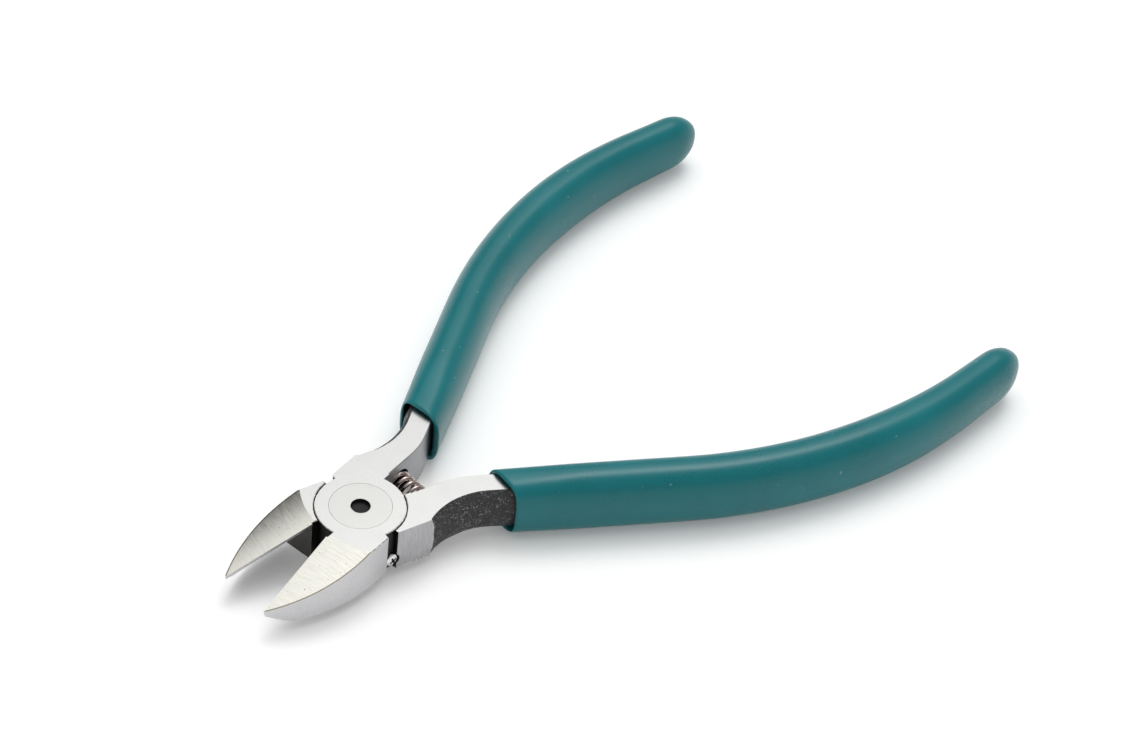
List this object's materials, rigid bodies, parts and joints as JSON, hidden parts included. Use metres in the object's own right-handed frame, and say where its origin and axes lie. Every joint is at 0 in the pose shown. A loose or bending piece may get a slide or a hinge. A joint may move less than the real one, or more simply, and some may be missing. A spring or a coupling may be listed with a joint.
{
  "type": "side cutters",
  "caption": "Spring-loaded side cutters with a riveted lap joint, ground jaws with an undercut, a coil return spring, an opening stop screw and bowed sleeve grips.",
  "frame": {"origin": "on the pivot axis, at the flat underside of the joint", "axes": "+X along the middle of the tool to the jaw tips, +Z along the pivot axis out of the face that carries the jaw ramps"},
  "size_m": [0.1466, 0.095, 0.0125],
  "materials": {
    "lever_steel": "forged, with ground and brushed faces on the joint, jaws and block sides",
    "rivet_steel": "ground flush with the joint",
    "spring_steel": "drawn wire, oil tempered brown",
    "screw_steel": "turned, with a cross recess",
    "sleeve_vinyl": "semi-gloss moulded vinyl"
  },
  "bodies": {
    "lower_half": {"lower_lever": "lever_steel", "lower_lever_grip": "sleeve_vinyl", "pivot_rivet": "rivet_steel", "stop_screw": "screw_steel", "return_spring": "spring_steel"},
    "upper_half": {"upper_lever": "lever_steel", "upper_lever_grip": "sleeve_vinyl"}
  },
  "joints": [
    {"name": "jaw_pivot", "type": "hinge", "parent": "lower_half", "child": "upper_half", "pos_m": [0, 0, 0.00435], "axis": [0, 0, -1], "range_deg": [0, 22.6], "stiffness_Nm_per_rad": 0.13, "springref_deg": -21.2, "deforming": ["return_spring"]}
  ]
}
